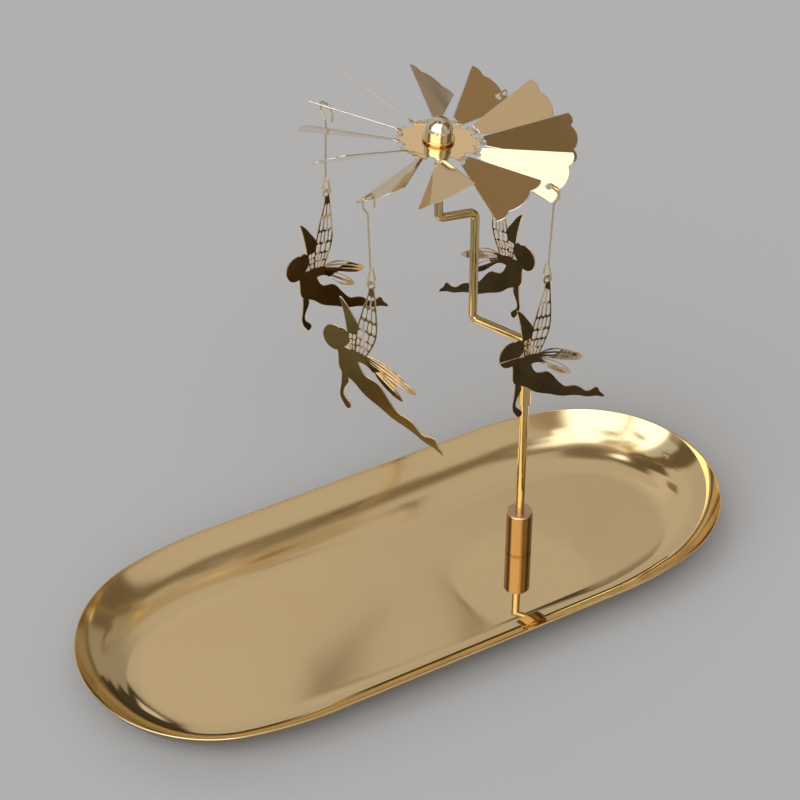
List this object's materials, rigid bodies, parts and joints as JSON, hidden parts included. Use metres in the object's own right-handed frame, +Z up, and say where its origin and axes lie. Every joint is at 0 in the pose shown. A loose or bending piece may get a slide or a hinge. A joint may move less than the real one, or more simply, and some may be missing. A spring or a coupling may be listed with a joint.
{
  "type": "angel chime carousel",
  "caption": "Rotating candle carousel: an oval metal tray, a cranked swivelling mast and a twelve-blade heat fan with hanging fairies.",
  "frame": {"origin": "centre of the flat underside of the tray", "axes": "+X along the tray towards the end that holds the post, +Y to the back of the tray, +Z up"},
  "size_m": [0.23, 0.1116, 0.1675],
  "materials": {
    "tray_gilt": "polished, brass-plated pressed sheet",
    "socket_brass": "satin turned brass",
    "magnet_steel": "nickel-plated magnet",
    "rod_brass": "polished brass-plated rod",
    "needle_steel": "hardened and polished",
    "etched_brass": "mirror-polished etched sheet",
    "fairy_bronze": "etched sheet with a dark antique gilt",
    "hub_brass": "polished turned brass",
    "hook_wire": "bright drawn wire"
  },
  "bodies": {
    "root": {"tray": "tray_gilt", "base_socket": "socket_brass", "base_magnet": "magnet_steel", "lower_rod": "rod_brass"},
    "mast": {"rod_sleeve": "rod_brass", "crank_rod": "rod_brass", "pivot_needle": "needle_steel"},
    "rotor": {"fan_wheel": "etched_brass", "hub_ferrule": "hub_brass", "cap_dome": "hub_brass", "bearing_cup": "needle_steel"},
    "hook_1": {"hanger_hook_1": "hook_wire"},
    "hung_fairy_1": {"fairy_1": "fairy_bronze"},
    "hook_2": {"hanger_hook_2": "hook_wire"},
    "hung_fairy_2": {"fairy_2": "fairy_bronze"},
    "hook_3": {"hanger_hook_3": "hook_wire"},
    "hung_fairy_3": {"fairy_3": "fairy_bronze"},
    "hook_4": {"hanger_hook_4": "hook_wire"},
    "hung_fairy_4": {"fairy_4": "fairy_bronze"}
  },
  "joints": [
    {"name": "mast_swivel", "type": "hinge", "parent": "root", "child": "mast", "pos_m": [0.0419, -0.0009, 0.0716], "axis": [0, 0, 1], "continuous": true},
    {"name": "fan_spin", "type": "hinge", "parent": "mast", "child": "rotor", "pos_m": [0.0222, 0.0211, 0.1618], "axis": [0, 0, 1], "continuous": true},
    {"name": "hook_swing_1", "type": "hinge", "parent": "rotor", "child": "hook_1", "pos_m": [0.00254, 0.05667, 0.15539], "axis": [0.9665, 0.2568, 0], "range_deg": [-3, 15]},
    {"name": "fairy_sway_1", "type": "hinge", "parent": "hook_1", "child": "hung_fairy_1", "pos_m": [0.00254, 0.05667, 0.12379], "axis": [-0.2568, 0.9665, 0], "range_deg": [-25, 25]},
    {"name": "hook_swing_2", "type": "hinge", "parent": "rotor", "child": "hook_2", "pos_m": [-0.01228, 0.0023, 0.15736], "axis": [-0.3231, 0.9464, 0], "range_deg": [-3, 15]},
    {"name": "fairy_sway_2", "type": "hinge", "parent": "hook_2", "child": "hung_fairy_2", "pos_m": [-0.01228, 0.0023, 0.12676], "axis": [-0.9464, -0.3231, 0], "range_deg": [-25, 25]},
    {"name": "hook_swing_3", "type": "hinge", "parent": "rotor", "child": "hook_3", "pos_m": [0.04011, -0.01289, 0.15212], "axis": [-0.9841, -0.1779, 0], "range_deg": [-3, 15]},
    {"name": "fairy_sway_3", "type": "hinge", "parent": "hook_3", "child": "hung_fairy_3", "pos_m": [0.04011, -0.01289, 0.11962], "axis": [0.1779, -0.9841, 0], "range_deg": [-25, 25]},
    {"name": "hook_swing_4", "type": "hinge", "parent": "rotor", "child": "hook_4", "pos_m": [0.05591, 0.03997, 0.1517], "axis": [0.3035, -0.9528, 0], "range_deg": [-3, 15]},
    {"name": "fairy_sway_4", "type": "hinge", "parent": "hook_4", "child": "hung_fairy_4", "pos_m": [0.05591, 0.03997, 0.1201], "axis": [0.9528, 0.3035, 0], "range_deg": [-25, 25]}
  ]
}
